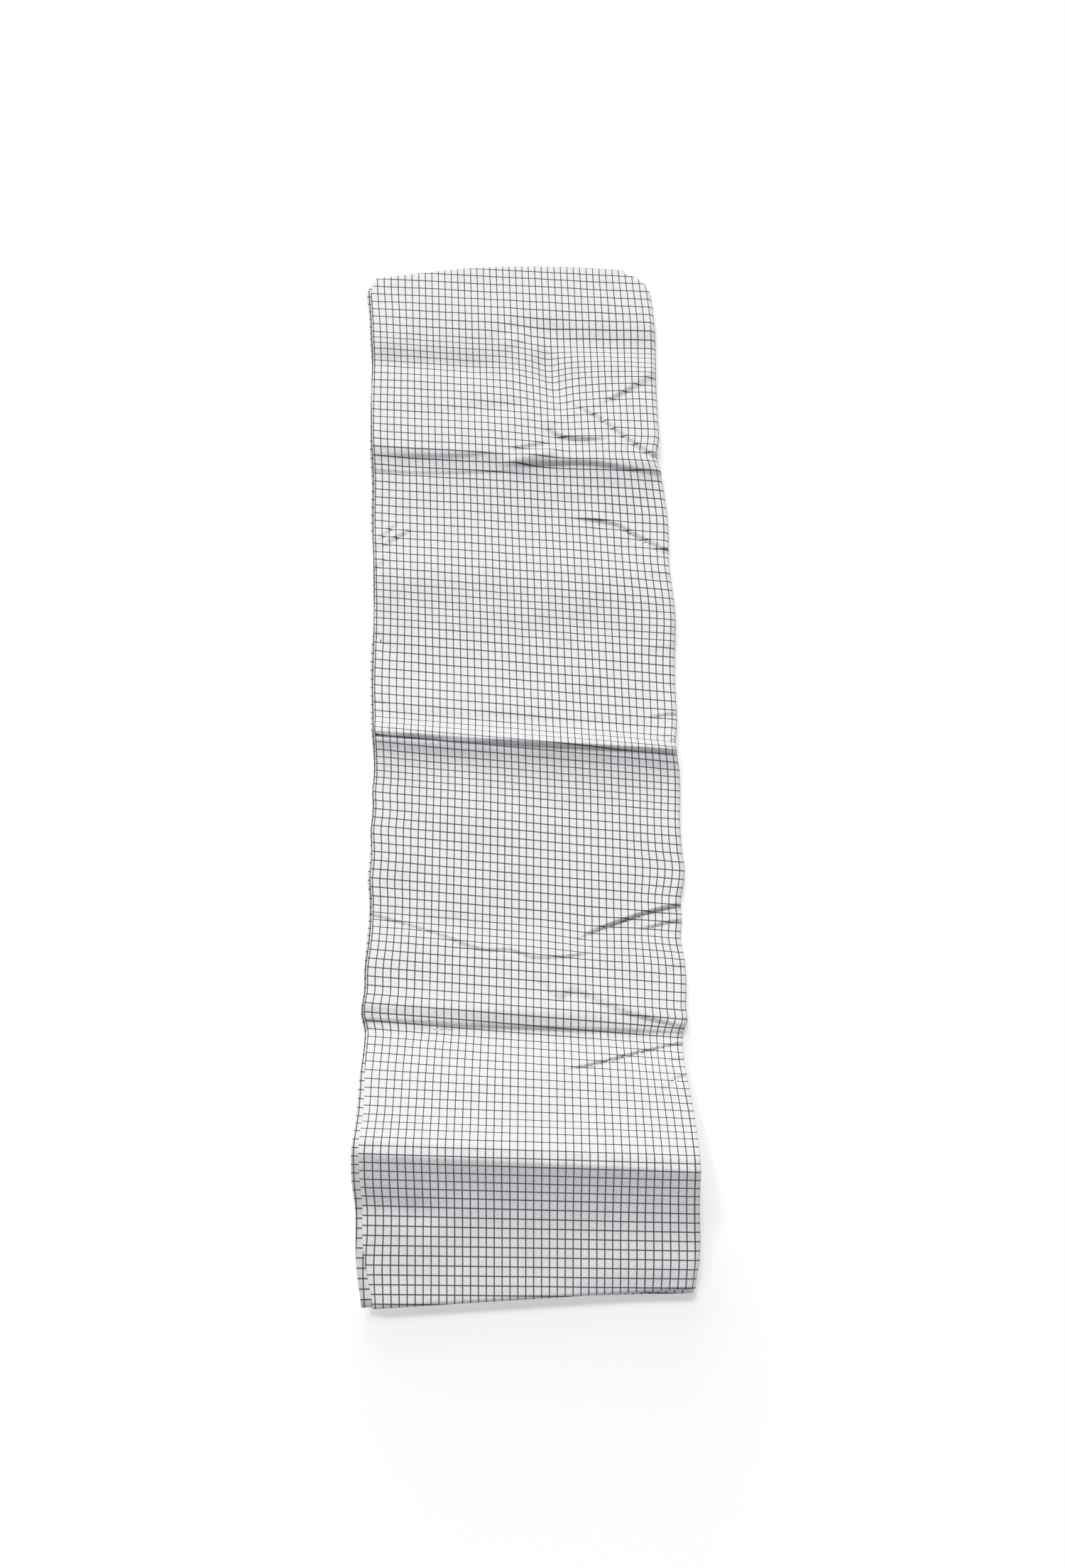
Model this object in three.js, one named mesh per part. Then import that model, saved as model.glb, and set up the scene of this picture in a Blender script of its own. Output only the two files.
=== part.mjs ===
// A folded cotton lungi, lying as it was taken out of its packet and shaken once: one length of
// checked cloth, folded in half along its length and in four across its width. The creases of
// the packet still stand up in it as crosswise folds.
//
// Millimetres, +Z up. The strip runs along Y: the two cut ends (the hems) are at -Y, the fold at
// half the cloth's length is at +Y. The rolled fold of the last turn is on the +X side, and the
// edges of the plies are on the -X side. The origin is on the surface that the strip lies on,
// at the middle of its outline.

import * as THREE from 'three';

// ---- driving dimensions ---------------------------------------------------------------------

const STRIP_LENGTH = 1012;   // hem to far fold, measured along the surface it lies on
const STRIP_WIDTH = 293;     // ply edges to rolled fold: a quarter of the cloth's width
const BOW = -19;             // how far the far end of the strip drifts sideways
const BOW_START = 450;       // where along the strip that drift begins
const FAR_ARCH = 9.5;        // how far the middle of the far fold stands out past its corners
const FAR_ARCH_MIDDLE = 10;  // where across the strip it stands out most
const FAR_ARCH_HALF = 150;   // how far to either side of that the arch reaches
const FAR_ARCH_START = 880;  // where along the strip it begins

const PLY = 1.2;             // wall of one modelled ply (two limp layers of cotton with air)
const GAP = 0.3;             // clearance between pieces that touch
const STACK = 8.4;           // all the plies together, where they lie pressed flat
const HEM_STACK = 18;        // the same at the hems, where the plies part
const HEM_STACK_END = 60;    // how far along the strip they have closed up again
const ROLL_REACH = 6.5;      // how far the rolled folds stand out from the flat plies
const LEDGE_HEM = 10;        // how far the under plies show past the top one, at the hems
const LEDGE_NEAR = 6;        // the same, under the first crease
const LEDGE_FAR = 2.5;       // the same, over the rest of the strip
const LEDGE_EASE = [130, 260]; // where along the strip one becomes the other
const HEM_DRAW = 5;          // how far the strip's two sides draw in at the hems
const HEM_STEP = 3;          // how far the second hem shows past the top one
const CORNER_RADIUS = 24;    // the far corner on the rolled side
const CORNER_CUT = 6;        // the far corner on the ply side, pulled in
const CORNER_CUT_RUN = 17;   // and how far along the strip that starts

const ACROSS_CELLS = 6;      // facets across the flat of a panel
const LONG_SPAN = 60;        // between knots of the profile this far apart: three facets,
const LONG_CELLS = 3;        // and otherwise two
const SHORT_CELLS = 2;
const ROLL_CELLS = 6;        // facets round a rolled fold
const CORNER_SECTIONS = [0.45, 0.75, 0.92];  // shares of the far corner where one is taken

// The top cloth, seen from the side. Each knot has its distance from the hem, its height, and
// the slopes at which the cloth reaches and leaves it (both level on a soft crest or valley).
const PROFILE = [
  { at: 0, height: HEM_STACK, before: 0, after: 0.4 },       // hem
  { at: 56, height: 35, before: 0.26, after: 0.28 },         // shelf
  { at: 86, height: 48.5, before: 0.62, after: 0.62 },       // foot of the first crease
  { at: 117, height: 73.5, before: 1.0, after: 0.05 },       // first packing crease, the tallest
  { at: 128, height: 74, before: 0, after: -0.65 },          // it has a blunt top
  { at: 182, height: 44, before: -0.42, after: -0.42 },      // its far flank
  { at: 231, height: STACK, before: -0.65, after: 0.4 },     // sharp valley crease
  { at: 249, height: 14.5, before: 0.25, after: 0.03 },      // and the bank beyond it
  { at: 285, height: 12.5, before: 0, after: 0 },            // soft swell
  { at: 330, height: 9, before: -0.05, after: 0.05 },        // valley crease with a tuck
  { at: 420, height: 11.5, before: 0, after: 0 },            // soft swell
  { at: 482, height: 12.5, before: 0.25, after: 0.25 },      // foot of the middle crease
  { at: 497, height: 22, before: 1.0, after: -0.3 },         // middle packing crease
  { at: 540, height: 14, before: -0.1, after: -0.1 },        // its far flank
  { at: 612, height: 10.5, before: 0, after: 0 },            // broad valley
  { at: 668, height: 15.5, before: 0, after: 0 },            // broad swell
  { at: 740, height: 11, before: 0, after: 0 },              // broad valley
  { at: 776, height: 13, before: 0.15, after: 0.15 },        // foot of the third crease
  { at: 802, height: 21, before: 0.3, after: 0 },            // third packing crease
  { at: 895, height: 14.5, before: 0, after: 0 },            // soft valley
  { at: 950, height: 17, before: 0, after: 0 },              // last swell
  { at: STRIP_LENGTH, height: 13, before: 0, after: 0 },     // far fold
];

// How askew the crosswise creases lie: millimetres along Y for each millimetre along X.
const LEAN = [
  { at: 0, lean: 0.061 },
  { at: 45, lean: -0.02 },
  { at: 125, lean: -0.052 },
  { at: 235, lean: -0.036 },
  { at: 497, lean: -0.057 },
  { at: 800, lean: -0.073 },
  { at: STRIP_LENGTH, lean: 0 },
];

const TUNNEL_END = 231;                           // the stack lies flat from here on
const RIGHT = STRIP_WIDTH / 2 - ROLL_REACH;       // where the flat plies meet the rolled fold
const LEFT = -STRIP_WIDTH / 2;                    // the outermost ply edge

// ---- the strip's form -----------------------------------------------------------------------

const mix = (a, b, t) => a + (b - a) * t;

// The two knots around a distance, and how far it lies between them.
function between(knots, s) {
  let k = 0;
  while (k < knots.length - 2 && s > knots[k + 1].at) k += 1;
  const span = knots[k + 1].at - knots[k].at;
  const t = THREE.MathUtils.clamp((s - knots[k].at) / span, 0, 1);
  return { from: knots[k], to: knots[k + 1], span, t };
}

// Height of the top cloth: a cubic between two knots that meets their slopes.
function topHeight(s) {
  const { from, to, span, t } = between(PROFILE, s);
  const rise = from.after * span * t * (1 - t) ** 2 - to.before * span * t * t * (1 - t);
  return mix(from.height, to.height, THREE.MathUtils.smoothstep(t, 0, 1)) + rise;
}

function lean(s) {
  const { from, to, t } = between(LEAN, s);
  return mix(from.lean, to.lean, THREE.MathUtils.smoothstep(t, 0, 1));
}

// Height of the underside: under the tallest crease the whole stack lifts off the surface.
function underHeight(s) {
  const stack = mix(HEM_STACK, STACK, THREE.MathUtils.smoothstep(s, 0, HEM_STACK_END));
  return s < TUNNEL_END ? Math.max(0, topHeight(s) - stack) : 0;
}

function ledge(s) {
  const near = mix(LEDGE_HEM, LEDGE_NEAR, THREE.MathUtils.smoothstep(s, 0, HEM_STACK_END));
  return mix(near, LEDGE_FAR, THREE.MathUtils.smoothstep(s, ...LEDGE_EASE));
}

// How far the sides draw in towards the hems.
function drawnIn(s) {
  return HEM_DRAW * (1 - THREE.MathUtils.smoothstep(s, 0, HEM_STACK_END));
}

// Right and left ends of the flat plies: the far corners draw in.
function rightEnd(s) {
  const into = Math.max(0, s - (STRIP_LENGTH - CORNER_RADIUS));
  const corner = Math.sqrt(CORNER_RADIUS ** 2 - into ** 2) - CORNER_RADIUS;
  return RIGHT + corner - drawnIn(s) / 2;
}

function leftEnd(s) {
  const cut = THREE.MathUtils.clamp((s - STRIP_LENGTH) / CORNER_CUT_RUN + 1, 0, 1);
  return LEFT + CORNER_CUT * cut + drawnIn(s);
}

// How far the far fold stands out at a place across it.
function farArch(x, s) {
  const share = Math.max(0, 1 - ((x - FAR_ARCH_MIDDLE) / FAR_ARCH_HALF) ** 2);
  return FAR_ARCH * share * THREE.MathUtils.smoothstep(s, FAR_ARCH_START, STRIP_LENGTH);
}

// A point of the strip: x across it from its middle line, s along it from the hem.
function place(x, s, z) {
  const drift = BOW * Math.max(0, (s - BOW_START) / (STRIP_LENGTH - BOW_START)) ** 1.2;
  return new THREE.Vector3(x + drift, s + lean(s) * x + farArch(x, s), z);
}

// Distances along the strip where a section is taken.
function stationsBetween(start, end) {
  const marks = PROFILE.flatMap((knot, k) => {
    const next = PROFILE[k + 1];
    if (!next) return [knot.at];
    const count = next.at - knot.at > LONG_SPAN ? LONG_CELLS : SHORT_CELLS;
    return Array.from({ length: count }, (_, i) => mix(knot.at, next.at, i / count));
  });
  const corner = CORNER_SECTIONS.map((t) => STRIP_LENGTH - CORNER_RADIUS * (1 - t));
  const inside = [...marks, ...corner].filter((s) => s > start + 1 && s < end - 1);
  return [start, ...inside.sort((a, b) => a - b), end];
}

// ---- solids ---------------------------------------------------------------------------------

// A closed solid through rings of points. Every ring has the same number of points and runs
// clockwise when it is seen from the ring after it. Facets are split the same way on upper and
// lower faces, so stacked plies nest.
function loft(rings) {
  const count = rings[0].length;
  const positions = rings.flat().flatMap((point) => point.toArray());
  const triangles = [];
  for (let r = 0; r + 1 < rings.length; r += 1) {
    for (let i = 0; i < count; i += 1) {
      const next = (i + 1) % count;
      const a = r * count + i;
      const b = r * count + next;
      const [c, d] = [a + count, b + count];
      const rightward = rings[r][i].x < rings[r][next].x;
      if (rightward) triangles.push(a, b, d, a, d, c);
      else triangles.push(a, b, c, b, d, c);
    }
  }
  const last = (rings.length - 1) * count;
  capTriangles(rings[0]).forEach(([a, b, c]) => triangles.push(a, c, b));
  capTriangles(rings.at(-1)).forEach(([a, b, c]) => triangles.push(last + a, last + b, last + c));
  const geometry = new THREE.BufferGeometry();
  geometry.setAttribute('position', new THREE.Float32BufferAttribute(positions, 3));
  geometry.setIndex(triangles);
  geometry.computeVertexNormals();
  return geometry;
}

// Triangles that fill one flat, upright ring.
function capTriangles(ring) {
  const along = ring[Math.floor(ring.length / 2)].clone().sub(ring[0]).setZ(0);
  const side = ring.reduce((far, p) => {
    const step = p.clone().sub(ring[0]).setZ(0);
    return step.length() > far.length() ? step : far;
  }, along).normalize();
  const flat = ring.map((p) => new THREE.Vector2(p.clone().sub(ring[0]).dot(side), p.z));
  const turned = THREE.ShapeUtils.isClockWise(flat);
  const outline = turned ? flat : flat.map((p) => new THREE.Vector2(-p.x, p.y));
  return THREE.ShapeUtils.triangulateShape(outline.slice().reverse(), [])
    .map((triangle) => triangle.map((i) => outline.length - 1 - i).reverse());
}

// The section of one ply, through the positions `xs` across it. `shift` moves it along Y.
function plySection(s, xs, lower, upper, shift = 0) {
  const row = (z) => xs.map((x) => place(x, s, z).add(new THREE.Vector3(0, shift, 0)));
  return [...row(upper), ...row(lower).reverse()];
}

// Positions across a panel: a first short step when it reaches past the top ply's edge.
function across(s, left) {
  const topEdge = leftEnd(s) + ledge(s);
  const flat = Array.from({ length: ACROSS_CELLS + 1 }, (_, i) => i / ACROSS_CELLS)
    .map((t) => mix(topEdge, rightEnd(s), t));
  return left < topEdge ? [left, ...flat] : flat;
}

function topPanel() {
  return loft(stationsBetween(0, STRIP_LENGTH).map((s) => {
    const top = topHeight(s);
    return plySection(s, across(s, Infinity), top - PLY, top);
  }));
}

function secondPanel() {
  const section = (s, shift) => {
    const top = topHeight(s) - PLY - GAP;
    return plySection(s, across(s, leftEnd(s)), top - PLY, top, shift);
  };
  const rings = stationsBetween(0, STRIP_LENGTH).map((s) => section(s, 0));
  return loft([section(0, -HEM_STEP), ...rings]);
}

function bottomPanel() {
  return loft(stationsBetween(0, STRIP_LENGTH).map((s) => {
    const floor = underHeight(s);
    return plySection(s, across(s, leftEnd(s)), floor, floor + PLY);
  }));
}

// The plies in between, as one solid. Its ply side is grooved, as the stacked edges are, and
// its other side fills the rolled fold.
function hiddenLayers() {
  const layers = 3;
  const edgeShare = 0.7;       // of a layer's height that stands out at the ply side
  const groove = 1.6;
  const rim = 2.2;             // height kept clear inside the rolled fold
  const bulgeReach = ROLL_REACH - PLY - GAP - 1;
  const bulgeEnd = STRIP_LENGTH - 60;
  const endShare = 0.1;        // of the bulge that is left beyond its end
  return loft(stationsBetween(0, STRIP_LENGTH).map((s) => {
    const low = underHeight(s) + PLY + GAP;
    const high = topHeight(s) - 2 * (PLY + GAP);
    const left = leftEnd(s);
    const right = rightEnd(s);
    const edge = [];
    for (let i = 0; i < layers; i += 1) {
      const bottom = mix(low, high, i / layers);
      const top = mix(low, high, (i + edgeShare) / layers);
      edge.push([left, bottom], [left, top]);
      const next = mix(low, high, (i + 1) / layers);
      if (i + 1 < layers) edge.push([left + groove, top], [left + groove, next]);
    }
    edge.push([left, high]);
    const upper = across(s, left).slice(1).map((x) => [x, high]);
    const middle = (low + high) / 2;
    const bulge = [Math.PI / 3, Math.PI / 2, 2 * Math.PI / 3].map((t) => [
      right + bulgeReach * Math.sin(t) * (s < bulgeEnd ? 1 : endShare),
      middle + (high - low - rim) / 2 * Math.cos(t),
    ]);
    const lower = across(s, left).slice(1).map((x) => [x, low]).reverse();
    return [...edge, ...upper, ...bulge, ...lower].map(([x, z]) => place(x, s, z));
  }));
}

// The wall of a rolled fold, round the edge of the flat plies at `foot`, towards `outward`.
function rollSection(foot, outward, low, high) {
  const middle = (low + high) / 2;
  const curve = (inset) => Array.from({ length: ROLL_CELLS + 1 }, (_, i) => {
    const turn = Math.PI * i / ROLL_CELLS;
    const reach = GAP + (ROLL_REACH - GAP - inset) * Math.sin(turn);
    const point = foot.clone().addScaledVector(outward, reach);
    return point.setZ(middle + ((high - low) / 2 - inset) * Math.cos(turn));
  });
  return [...curve(0), ...curve(PLY).reverse()];
}

const CORNER_START = STRIP_LENGTH - CORNER_RADIUS;

function sideFold() {
  const stations = stationsBetween(0, CORNER_START - GAP);
  return loft(stations.map((s) => {
    const foot = place(rightEnd(s), s, 0);
    const outward = place(rightEnd(s) + 1, s, 0).sub(foot).normalize();
    return rollSection(foot, outward, underHeight(s), topHeight(s));
  }));
}

function endFold() {
  const corner = stationsBetween(CORNER_START, STRIP_LENGTH)
    .map((s) => place(rightEnd(s), s, topHeight(s)));
  const farEdge = across(STRIP_LENGTH, Infinity).slice(0, -1).reverse();
  const edge = [...farEdge, leftEnd(STRIP_LENGTH)]
    .map((x) => place(x, STRIP_LENGTH, topHeight(STRIP_LENGTH)));
  const path = [...corner, ...edge];
  return loft(path.map((foot, i) => {
    const ahead = path[Math.min(i + 1, path.length - 1)];
    const behind = path[Math.max(i - 1, 0)];
    const run = ahead.clone().sub(behind).setZ(0).normalize();
    const outward = new THREE.Vector3(run.y, -run.x, 0);
    return rollSection(foot, outward, 0, foot.z);
  }));
}

// ---- the object -----------------------------------------------------------------------------

const lungi = new THREE.Group();

function addPiece(name, geometry, colour, roughness) {
  const cloth = new THREE.MeshStandardMaterial({ color: colour, roughness, metalness: 0 });
  const piece = new THREE.Mesh(geometry, cloth);
  piece.name = name;
  lungi.add(piece);
}

addPiece('top_panel', topPanel(), '#edecef', 0.72);
addPiece('second_panel', secondPanel(), '#e6e3e4', 0.75);
addPiece('hidden_layers', hiddenLayers(), '#dedadb', 0.8);
addPiece('bottom_panel', bottomPanel(), '#e4e2e5', 0.78);
addPiece('side_fold', sideFold(), '#efe6dc', 0.74);
addPiece('end_fold', endFold(), '#e9e7e8', 0.74);

// The origin goes under the middle of the strip's outline.
const outline = new THREE.Box3().setFromObject(lungi);
const middle = outline.getCenter(new THREE.Vector3());
lungi.position.set(-middle.x, -middle.y, 0);

export default lungi;
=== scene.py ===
# %% [markdown]
# # A folded lungi
#
# A lungi is one length of thin cotton, a little over two metres long. This one lies as it came
# out of its packet: folded in half along its length, folded in four across its width, then
# opened out, so that the creases of the packet still stand up in it. The lesson builds it the
# way it is folded: one sheet outside, and the other plies nested within it.
#
# The CAD model is loaded first. It fixes where the cloth lies and how high its creases stand.

import math

import bmesh
import bpy
import numpy as np
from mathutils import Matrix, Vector, noise


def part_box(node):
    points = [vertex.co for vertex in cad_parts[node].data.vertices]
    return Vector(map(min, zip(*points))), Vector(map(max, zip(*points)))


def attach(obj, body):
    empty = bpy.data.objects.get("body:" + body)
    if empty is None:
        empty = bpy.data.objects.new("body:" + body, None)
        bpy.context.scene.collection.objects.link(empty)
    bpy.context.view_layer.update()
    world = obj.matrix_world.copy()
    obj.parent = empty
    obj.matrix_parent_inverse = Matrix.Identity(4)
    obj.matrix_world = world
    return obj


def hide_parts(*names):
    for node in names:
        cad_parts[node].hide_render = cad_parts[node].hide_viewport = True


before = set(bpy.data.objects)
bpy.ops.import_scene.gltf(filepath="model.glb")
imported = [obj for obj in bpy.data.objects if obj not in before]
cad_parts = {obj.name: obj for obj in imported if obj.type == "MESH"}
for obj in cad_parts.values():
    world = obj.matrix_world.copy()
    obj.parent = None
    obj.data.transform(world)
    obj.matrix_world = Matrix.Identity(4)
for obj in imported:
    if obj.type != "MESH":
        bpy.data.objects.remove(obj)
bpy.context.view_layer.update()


# %% [markdown]
# ## The strip's form
#
# The strip is measured the way a maker would measure it: x runs across it from its middle line,
# and s runs along it from the hem that lies nearest. Sizes are in millimetres, because cloth is
# thought of in millimetres, and a point is made metres when it is placed. These sizes are the
# CAD model's own. Only the wandering sides and the far corner that is drawn back, further down,
# are finer than the model has them.

# %% Sizes
MM = 0.001
STRIP_LENGTH = 1012.0
STRIP_WIDTH = 293.0
ROLL_REACH = 6.5        # how far the rolled fold on the right reaches out
RIGHT = STRIP_WIDTH / 2 - ROLL_REACH
LEFT = -STRIP_WIDTH / 2

STACK = 8.4             # height of the pressed plies
HEM_STACK = 18.0        # and at the hem, where they lie loose
HEM_STACK_END = 60.0

LEDGE_HEM = 10.0        # how far the under plies stick out on the left: at the hem,
LEDGE_NEAR = 6.0        # a little way in,
LEDGE_FAR = 2.5         # and from there on
LEDGE_EASE = 130.0
HEM_DRAW = 5.0          # how far the hem is drawn in at its sides

CORNER_RADIUS = 24.0    # far corner on the right
CORNER_CUT = 6.0        # far corner on the left
CORNER_CUT_RUN = 17.0

BOW = -19.0             # how far the strip bends to the left on its way
BOW_START = 450.0
BOW_POWER = 1.2
FAR_ARCH = 9.5          # the far fold isn't straight but arched
FAR_ARCH_MIDDLE = 10.0
FAR_ARCH_HALF = 150.0
FAR_ARCH_START = 880.0
print(f"a strip of {STRIP_WIDTH:.0f} by {STRIP_LENGTH:.0f} mm, pressed to {STACK} mm")

# %% [markdown]
# The form of the top cloth is one profile. It lists the crests and valleys, each with the slope
# at which the cloth reaches it and the slope at which the cloth leaves it. A cubic between two
# of them meets those slopes, which gives soft swells and sharp creases with the same few
# numbers. A sculpted surface could do it too, but a list is easier to read and to correct.

# %% Profile
# distance from the hem, height, slope before, slope after
PROFILE = np.array([
    (0, HEM_STACK, 0, 0.4),          # hem
    (56, 35, 0.26, 0.28),            # shelf
    (86, 48.5, 0.62, 0.62),          # foot of the first crease
    (117, 73.5, 1.0, 0.05),          # first packing crease, the tallest
    (128, 74, 0, -0.65),             # it has a blunt top
    (182, 44, -0.42, -0.42),         # its far flank
    (231, STACK, -0.65, 0.4),        # sharp valley crease
    (249, 14.5, 0.25, 0.03),         # and the bank beyond it
    (285, 12.5, 0, 0),               # soft swell
    (330, 9, -0.05, 0.05),           # valley crease with a tuck
    (420, 11.5, 0, 0),               # soft swell
    (482, 12.5, 0.25, 0.25),         # foot of the middle crease
    (497, 22, 1.0, -0.3),            # middle packing crease
    (540, 14, -0.1, -0.1),           # its far flank
    (612, 10.5, 0, 0),               # broad valley
    (668, 15.5, 0, 0),               # broad swell
    (740, 11, 0, 0),                 # broad valley
    (776, 13, 0.15, 0.15),           # foot of the third crease
    (802, 21, 0.3, 0),               # third packing crease
    (895, 14.5, 0, 0),               # soft valley
    (950, 17, 0, 0),                 # last swell
    (STRIP_LENGTH, 13, 0, 0),        # far fold
])
TUNNEL_END = 231.0      # up to here the under plies stand up with the tallest crease

# how askew the crosswise creases lie, and how askew the weave lies: distance from the hem, slope
LEAN = np.array([(0, 0.061), (45, -0.02), (125, -0.052), (235, -0.036), (497, -0.057),
                 (800, -0.073), (STRIP_LENGTH, 0)])
WEAVE_LEAN = np.array([(0, -0.012), (130, -0.03), (230, -0.08), (430, -0.095), (900, -0.07),
                       (STRIP_LENGTH, -0.06)])


def smooth(t):
    t = np.clip(t, 0.0, 1.0)
    return t * t * (3 - 2 * t)


def mix(a, b, t):
    return a + (b - a) * t


def knots_around(knots, s):
    k = np.clip(np.searchsorted(knots[:, 0], s, side="right") - 1, 0, len(knots) - 2)
    span = knots[k + 1, 0] - knots[k, 0]
    return knots[k], knots[k + 1], span, np.clip((s - knots[k, 0]) / span, 0, 1)


def top_height(s):
    a, b, span, t = knots_around(PROFILE, s)
    rise = a[..., 3] * span * t * (1 - t) ** 2 - b[..., 2] * span * t * t * (1 - t)
    return mix(a[..., 1], b[..., 1], smooth(t)) + rise


def lean_of(knots, s):
    a, b, _, t = knots_around(knots, s)
    return mix(a[..., 1], b[..., 1], smooth(t))


print(f"{len(PROFILE)} crests and valleys, the highest at {PROFILE[:, 1].max():.0f} mm")

# %% [markdown]
# The under side lies on the table, except beneath the tallest crease, which all the plies climb
# together. The left side steps in by a ledge, the corners are cut or rounded, and both sides
# wander, because each crease that ends at a side draws it in or lets it out.

# %% Under side and edges
def under_height(s):
    stack = mix(HEM_STACK, STACK, smooth(s / HEM_STACK_END))
    return np.where(s < TUNNEL_END, np.maximum(0, top_height(s) - stack), 0.0)


def drawn_in(s):
    return HEM_DRAW * (1 - smooth(s / HEM_STACK_END))


def ledge(s):
    near = mix(LEDGE_HEM, LEDGE_NEAR, smooth(s / HEM_STACK_END))
    return mix(near, LEDGE_FAR, smooth(s / LEDGE_EASE - 1))


def left_end(s):
    cut = np.clip((s - STRIP_LENGTH) / CORNER_CUT_RUN + 1, 0, 1)
    return LEFT + CORNER_CUT * cut + drawn_in(s)


def right_end(s):
    into = np.clip(s - (STRIP_LENGTH - CORNER_RADIUS), 0, CORNER_RADIUS)
    return RIGHT + np.sqrt(CORNER_RADIUS ** 2 - into ** 2) - CORNER_RADIUS - drawn_in(s) / 2


# distance from the hem, how far the side moves to the right, half the length that moves
RIGHT_PULLS = [
    (40, 3, 60), (212, -6, 40), (246, 2.5, 8), (323, -4, 18), (355, -3, 14), (388, 1.5, 12),
    (430, -1.8, 30), (508, -3, 16), (645, 4.5, 45), (745, 3.5, 35), (812, -4, 14), (950, 3, 45)]
LEFT_PULLS = [
    (30, -2, 20), (94, -1.5, 25), (154, 1, 20), (242, -4.5, 16), (278, -3, 22), (363, -1.5, 14),
    (410, -1.5, 14), (447, -1.2, 10), (560, -2.3, 50), (725, -1.5, 40), (833, -1.6, 60),
    (1012, -3, 50)]


def pulled(s, pulls):
    return sum(out * np.exp(-((s - at) / half) ** 2) for at, out, half in pulls)


def right_side(s):
    return right_end(s) + pulled(s, RIGHT_PULLS)


def left_side(s):
    return left_end(s) + pulled(s, LEFT_PULLS)


places_along = np.linspace(0, STRIP_LENGTH, 50)
widths = right_side(places_along) - left_side(places_along)
print(f"{widths.min():.0f} to {widths.max():.0f} mm wide")

# %% [markdown]
# A point of the strip is placed in three steps: the strip bows to the left, it lies a little
# askew, and its far fold is arched, with the far corner on the left drawn back. Where its own
# zero lies is read from the CAD model's lowest panel, so the two stay together.

# %% Placing a point
CORNER_DROP = 5.0       # how far the far corner on the left lies back
CORNER_DROP_RUN = 70.0

low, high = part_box("bottom_panel")
origin_x = high.x / MM - RIGHT
origin_y = low.y / MM - LEAN[0, 1] * float(left_end(np.array(0.0)))
print(f"the strip's own zero lies at x {origin_x:.1f} mm, y {origin_y:.1f} mm")


def reach_along(x, s):
    """How far from the strip's own zero a point lies, straight ahead."""
    share = np.maximum(0, 1 - ((x - FAR_ARCH_MIDDLE) / FAR_ARCH_HALF) ** 2)
    arch = FAR_ARCH * share * smooth((s - FAR_ARCH_START) / (STRIP_LENGTH - FAR_ARCH_START))
    to_corner = smooth(-x / STRIP_WIDTH * 2) * smooth((s - STRIP_LENGTH) / CORNER_DROP_RUN + 1)
    drop = CORNER_DROP * to_corner
    return s + lean_of(LEAN, s) * x + arch - drop


def place(x, s, z):
    """Points of the strip, in metres: x across it, s along it, z up, in millimetres."""
    bent = np.maximum(0, (s - BOW_START) / (STRIP_LENGTH - BOW_START)) ** BOW_POWER
    drift = BOW * bent
    return np.stack([x + drift + origin_x, reach_along(x, s) + origin_y, z], -1) * MM


# %% [markdown]
# ## Camera
#
# The camera stands over the near end of the strip and looks down at it steeply, a little
# forward, so that the far end narrows. Its place is given in the strip's own sizes, so it moves
# with the strip.

# %% Camera
CAMERA_ACROSS = 5.0     # millimetres from the strip's middle line
CAMERA_ALONG = 138.0    # millimetres from the hem
CAMERA_HEIGHT = 1248.0
CAMERA_PITCH = 75.33    # degrees below level
LENS = 45.6             # millimetres
SENSOR_WIDTH = 36.0

camera = bpy.data.objects.new("camera", bpy.data.cameras.new("camera"))
bpy.context.scene.collection.objects.link(camera)
bpy.context.scene.camera = camera
camera.data.sensor_fit = "HORIZONTAL"
camera.data.sensor_width = SENSOR_WIDTH
camera.data.lens = LENS
camera.location = (
    (CAMERA_ACROSS + origin_x) * MM, (CAMERA_ALONG + origin_y) * MM, CAMERA_HEIGHT * MM)
camera.rotation_euler = (math.radians(90 - CAMERA_PITCH), 0, 0)
print("camera at", tuple(round(value, 3) for value in camera.location))
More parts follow.
